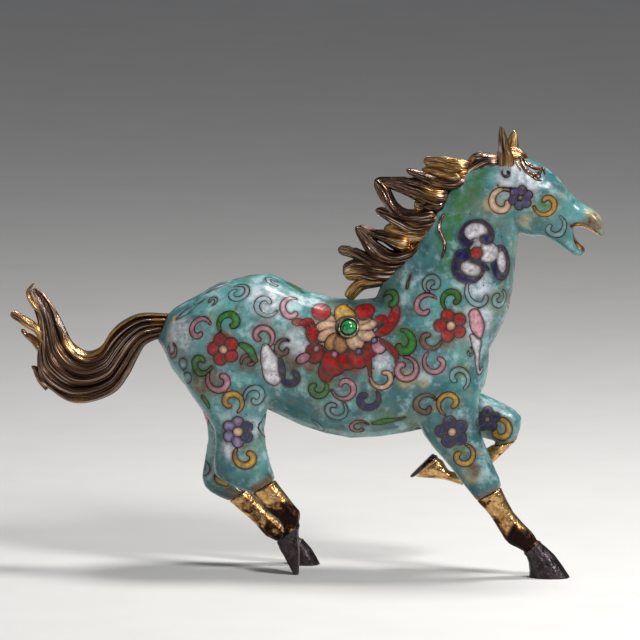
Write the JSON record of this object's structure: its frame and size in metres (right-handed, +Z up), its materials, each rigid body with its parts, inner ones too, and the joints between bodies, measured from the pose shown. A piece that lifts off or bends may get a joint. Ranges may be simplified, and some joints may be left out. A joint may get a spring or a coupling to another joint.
{
  "type": "cloisonne horse figurine",
  "caption": "Running horse figure in turquoise cloisonne enamel with a gilt cast mane, tail, ears and lower legs and a round green stone set in the flank.",
  "frame": {"origin": "middle of the base of the figure's box, on the surface it stands on", "axes": "+X towards the head, +Z up, -Y the horse's right side, which carries the stone"},
  "size_m": [0.2374, 0.045, 0.1808],
  "materials": {
    "enamel": "mottled turquoise cloisonne enamel with wire scrolls and flowers, worn gloss",
    "gilt_hair": "cast and gilt, dark patina on the ridges, gold in the hollows",
    "gilt_leg": "gilt with brown patina, hooves dark gunmetal",
    "bezel_metal": "dull rubbed metal",
    "green_stone": "polished dome"
  },
  "bodies": {
    "root": {"body": "enamel", "mane_and_ears": "gilt_hair", "tail": "gilt_hair", "right_fore_shank": "gilt_leg", "left_fore_shank": "gilt_leg", "right_hind_shank": "gilt_leg", "left_hind_shank": "gilt_leg", "bezel": "bezel_metal", "cabochon": "green_stone"}
  },
  "joints": []
}
